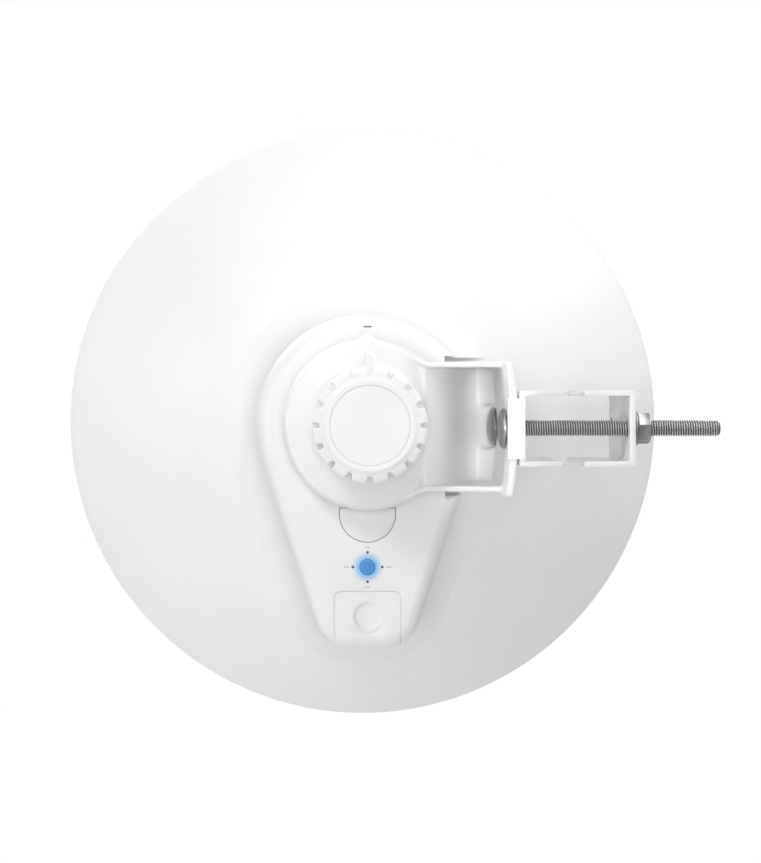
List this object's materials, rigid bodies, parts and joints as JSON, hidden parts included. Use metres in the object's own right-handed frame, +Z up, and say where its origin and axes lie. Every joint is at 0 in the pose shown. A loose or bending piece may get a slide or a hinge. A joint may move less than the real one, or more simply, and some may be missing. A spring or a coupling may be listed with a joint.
{
  "type": "outdoor wireless bridge",
  "caption": "Round dish radio with a rear electronics pod, a ball-joint arm tightened by a fluted knob, and a two-bolt mast clamp.",
  "frame": {"origin": "on the mast's axis at the middle height of the clamp", "axes": "+Z up along the mast, +Y the way the dish faces, +X from the dish across the mast to the bolt ends"},
  "size_m": [0.4215, 0.242, 0.413],
  "materials": {
    "shell_white": "fine satin moulded plastic",
    "radome_white": "fine satin moulded plastic",
    "knob_white": "satin moulded plastic",
    "arm_white": "white powder coat on a casting",
    "jaw_white": "white powder coat on formed steel",
    "fastener_steel": "dull zinc plate",
    "reflector_metal": "satin",
    "shield_metal": "tin plate",
    "inner_plastic": "natural",
    "black_plastic": "satin",
    "black_rubber": "matt",
    "grey_liner": "self-lubricating plastic",
    "grey_ink": "flat ink",
    "board_green": "solder mask",
    "antenna_ceramic": "fired ceramic",
    "insert_brass": "turned",
    "status_light": "clear diffusing light pipe"
  },
  "bodies": {
    "bracket": {"arm": "arm_white", "fixed_jaw": "jaw_white", "carriage_bolt_near": "fastener_steel", "carriage_bolt_far": "fastener_steel"},
    "liner": {"friction_liner": "grey_liner"},
    "dish": {"rear_shell": "shell_white", "reflector": "reflector_metal", "radome": "radome_white", "rim_seal": "black_rubber", "feed_horn": "reflector_metal", "feed_support": "inner_plastic", "sub_reflector": "reflector_metal", "pod_housing": "shell_white", "pivot_hub": "shell_white", "light_pipe": "status_light", "index_mark": "grey_ink", "heat_spreader": "reflector_metal", "main_board": "board_green", "radio_shield": "shield_metal", "position_antenna": "antenna_ceramic", "network_jack": "shield_metal", "reset_switch": "black_plastic", "clamp_stud": "fastener_steel"},
    "washer": {"pressure_washer": "inner_plastic"},
    "knob": {"clamp_knob": "knob_white", "knob_cap": "knob_white", "knob_insert": "insert_brass"},
    "jaw": {"moving_jaw": "jaw_white"},
    "nut_near": {"flange_nut_near": "fastener_steel"},
    "nut_far": {"flange_nut_far": "fastener_steel"},
    "door": {"port_door": "shell_white", "door_gasket": "black_rubber"},
    "tab": {"release_tab": "shell_white"},
    "button": {"reset_button": "inner_plastic"}
  },
  "joints": [
    {"name": "azimuth", "type": "hinge", "parent": "bracket", "child": "liner", "pos_m": [-0.127, 0.022, 0.002], "axis": [0, 0, 1], "range_deg": [-6, 6]},
    {"name": "elevation", "type": "hinge", "parent": "liner", "child": "dish", "pos_m": [-0.127, 0.022, 0.002], "axis": [1, 0, 0], "range_deg": [-6, 6]},
    {"name": "knob_travel", "type": "slide", "parent": "dish", "child": "washer", "axis": [0, -1, 0], "range_m": [0, 0.0025]},
    {"name": "knob_turn", "type": "hinge", "parent": "washer", "child": "knob", "pos_m": [-0.127, 0.022, 0.002], "axis": [0, -1, 0], "range_deg": [0, 720]},
    {"name": "jaw_slide", "type": "slide", "parent": "bracket", "child": "jaw", "axis": [1, 0, 0], "range_m": [-0.0075, 0.036]},
    {"name": "nut_near_turn", "type": "hinge", "parent": "jaw", "child": "nut_near", "pos_m": [0.04, -0.0325, 0], "axis": [1, 0, 0], "range_deg": [-1800, 8640]},
    {"name": "nut_far_turn", "type": "hinge", "parent": "jaw", "child": "nut_far", "pos_m": [0.04, 0.0325, 0], "axis": [1, 0, 0], "range_deg": [-1800, 8640]},
    {"name": "door_slide", "type": "slide", "parent": "dish", "child": "door", "axis": [0, 0, -1], "range_m": [0, 0.045]},
    {"name": "tab_press", "type": "slide", "parent": "dish", "child": "tab", "axis": [0, 1, 0], "range_m": [0, 0.002], "stiffness_N_per_m": 400},
    {"name": "reset_press", "type": "slide", "parent": "dish", "child": "button", "axis": [0, 0, 1], "range_m": [0, 0.0008], "stiffness_N_per_m": 400}
  ],
  "couplings": [
    {"joint": "knob_travel", "follows": "knob_turn", "m_per_rad": 0.00019894},
    {"joint": "nut_near_turn", "follows": "jaw_slide", "rad_per_m": 4188.8},
    {"joint": "nut_far_turn", "follows": "jaw_slide", "rad_per_m": 4188.8}
  ]
}
